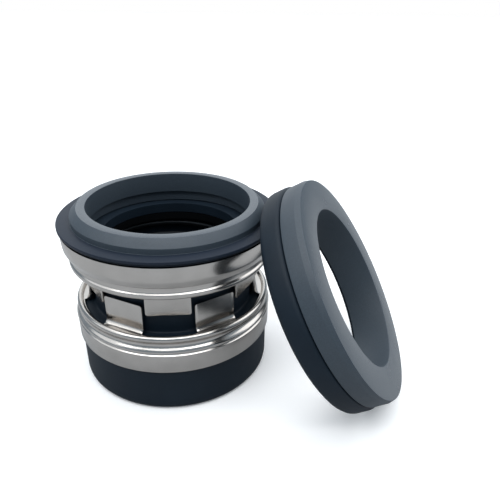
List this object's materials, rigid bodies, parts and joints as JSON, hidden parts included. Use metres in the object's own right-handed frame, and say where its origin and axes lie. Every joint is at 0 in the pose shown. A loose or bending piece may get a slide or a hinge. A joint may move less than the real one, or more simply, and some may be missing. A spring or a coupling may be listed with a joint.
{
  "type": "elastomer bellows mechanical seal",
  "caption": "Mechanical shaft seal set: a spring loaded rotating head with carbide face, rubber bellows and tabbed steel shells, and a rubber cupped stationary seat ring.",
  "frame": {"origin": "centre of the shaft bore at the rubber tail's end face", "axes": "+Z along the head's axis, from the tail to the sliding face; a tab of the retainer is centred on -Y"},
  "size_m": [0.1036, 0.0826, 0.062],
  "materials": {
    "silicon_carbide": "sintered ceramic, ground, satin dark grey",
    "rubber": "matt moulded rubber, black",
    "pressed_steel": "pressed stainless sheet, bright",
    "spring_steel": "drawn stainless wire"
  },
  "bodies": {
    "shaft_unit": {"drive_band": "pressed_steel", "bellows": "rubber", "lower_spring_ring": "pressed_steel", "coil_spring": "spring_steel", "seat_ring": "silicon_carbide", "seat_cup": "rubber"},
    "face_unit": {"primary_ring": "silicon_carbide", "retainer": "pressed_steel", "upper_spring_ring": "pressed_steel"}
  },
  "joints": [
    {"name": "face_slide", "type": "slide", "parent": "shaft_unit", "child": "face_unit", "axis": [0, 0, 1], "range_m": [-0.0045, 0], "stiffness_N_per_m": 9000, "springref_m": 0.0005, "deforming": ["bellows", "coil_spring"]}
  ]
}
